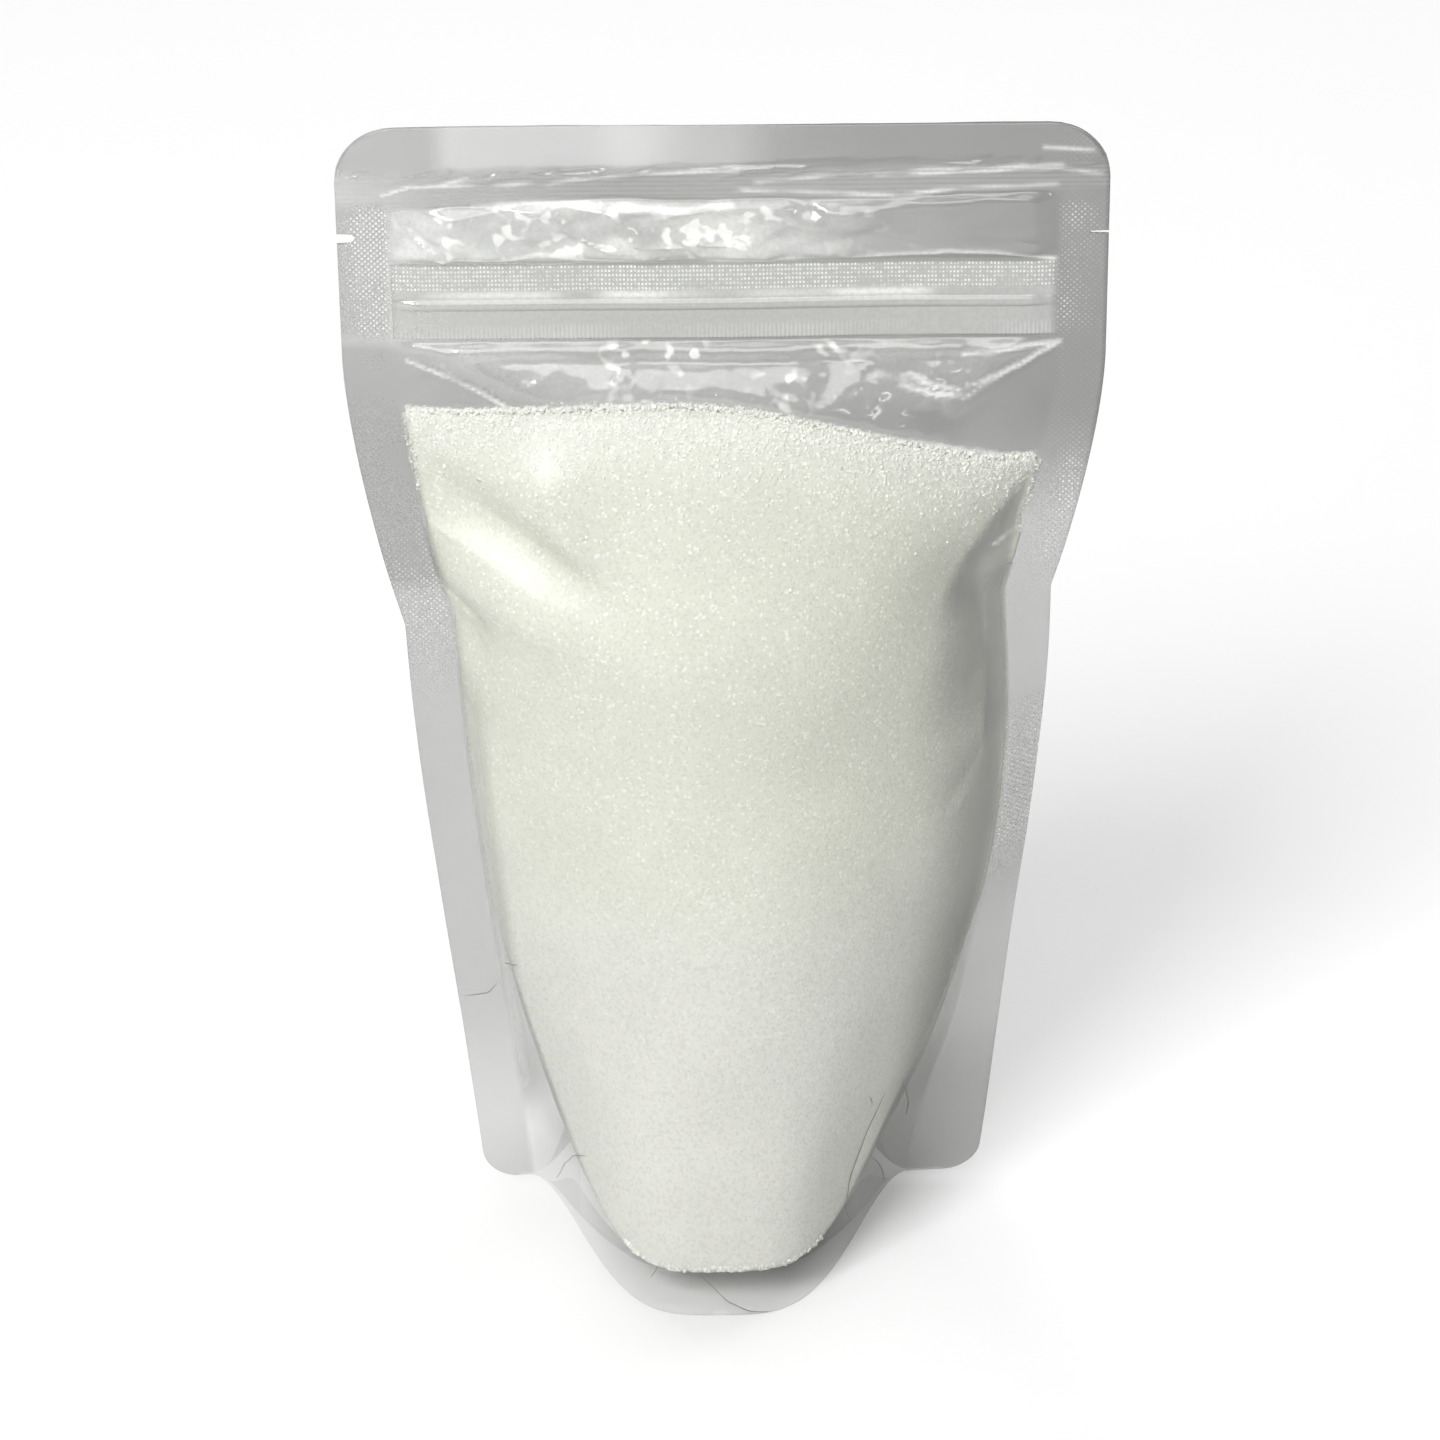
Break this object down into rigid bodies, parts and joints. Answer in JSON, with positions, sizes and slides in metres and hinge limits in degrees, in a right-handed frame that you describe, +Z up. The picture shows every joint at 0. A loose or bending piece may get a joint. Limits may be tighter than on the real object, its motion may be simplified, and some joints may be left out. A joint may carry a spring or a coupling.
{
  "type": "bag of monk fruit sweetener",
  "caption": "Clear stand-up zip pouch of white granulated monk fruit sweetener, sealed across the top, with rounded corners, tear notches and a bottom gusset.",
  "frame": {"origin": "on the floor, under the middle of the pouch's box", "axes": "+Z up along the height, -Y out of the front, +X to the right as seen from the front"},
  "size_m": [0.13, 0.0794, 0.2223],
  "materials": {
    "filled_film": "glossy clear film over white granules",
    "film": "glossy clear film",
    "granules": "fine white crystals"
  },
  "bodies": {
    "root": {"pouch": "filled_film"}
  },
  "joints": []
}
